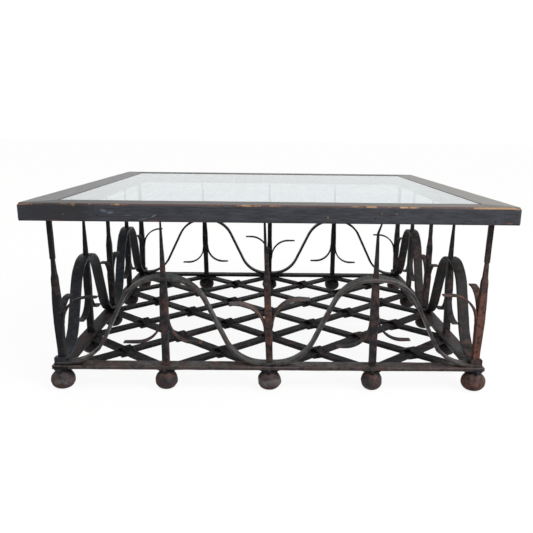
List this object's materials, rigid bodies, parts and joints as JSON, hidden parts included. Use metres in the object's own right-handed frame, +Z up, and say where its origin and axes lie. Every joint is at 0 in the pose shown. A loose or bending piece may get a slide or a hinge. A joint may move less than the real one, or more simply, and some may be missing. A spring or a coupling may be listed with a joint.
{
  "type": "coffee table",
  "caption": "Low square coffee table: inset glass in a painted timber frame on a hand-forged iron base with wavy side bands, split barbs, ball feet and a diagonal lattice shelf.",
  "frame": {"origin": "on the floor under the middle of the table", "axes": "+Z up, -Y towards the front, +X to the right seen from the front"},
  "size_m": [1.07, 1.07, 0.436],
  "materials": {
    "painted_timber": "black paint, worn through to bare wood along the edges",
    "bare_hardwood": "sawn and glued",
    "clear_glass": "clear float glass with ground edges",
    "clear_bumper_rubber": "clear soft bumper",
    "screw_steel": "dulled wood screws",
    "forged_iron": "hammered wrought iron, dark with rust-brown patches"
  },
  "bodies": {
    "table": {"top_rail_front": "painted_timber", "top_rail_right": "painted_timber", "top_rail_back": "painted_timber", "top_rail_left": "painted_timber", "mitre_splines": "bare_hardwood", "glass_pads": "clear_bumper_rubber", "corner_plate_front_left": "forged_iron", "corner_plate_front_right": "forged_iron", "corner_plate_back_left": "forged_iron", "corner_plate_back_right": "forged_iron", "plate_screws": "screw_steel", "mid_post_front": "forged_iron", "mid_post_right": "forged_iron", "mid_post_back": "forged_iron", "mid_post_left": "forged_iron", "corner_post_front_left": "forged_iron", "corner_post_front_right": "forged_iron", "corner_post_back_left": "forged_iron", "corner_post_back_right": "forged_iron", "spear_post_front_left": "forged_iron", "spear_post_front_right": "forged_iron", "spear_post_back_left": "forged_iron", "spear_post_back_right": "forged_iron", "spear_post_left_front": "forged_iron", "spear_post_left_back": "forged_iron", "spear_post_right_front": "forged_iron", "spear_post_right_back": "forged_iron", "wave_band_front": "forged_iron", "wave_band_right": "forged_iron", "wave_band_back": "forged_iron", "wave_band_left": "forged_iron", "base_rail_front": "forged_iron", "base_rail_right": "forged_iron", "base_rail_back": "forged_iron", "base_rail_left": "forged_iron", "lattice_bar_plain_1": "forged_iron", "lattice_bar_plain_2": "forged_iron", "lattice_bar_plain_3": "forged_iron", "lattice_bar_plain_4": "forged_iron", "lattice_bar_plain_5": "forged_iron", "lattice_bar_plain_6": "forged_iron", "lattice_bar_plain_7": "forged_iron", "lattice_bar_eyed_1": "forged_iron", "lattice_bar_eyed_2": "forged_iron", "lattice_bar_eyed_3": "forged_iron", "lattice_bar_eyed_4": "forged_iron", "lattice_bar_eyed_5": "forged_iron", "lattice_bar_eyed_6": "forged_iron", "lattice_bar_eyed_7": "forged_iron", "ball_foot_front_left": "forged_iron", "ball_foot_front_right": "forged_iron", "ball_foot_back_left": "forged_iron", "ball_foot_back_right": "forged_iron", "ball_feet_front": "forged_iron", "ball_feet_right": "forged_iron", "ball_feet_back": "forged_iron", "ball_feet_left": "forged_iron"},
    "glass": {"glass_pane": "clear_glass"}
  },
  "joints": [
    {"name": "glass_lift", "type": "slide", "parent": "table", "child": "glass", "axis": [0, 0, 1], "range_m": [0, 0.1]}
  ]
}
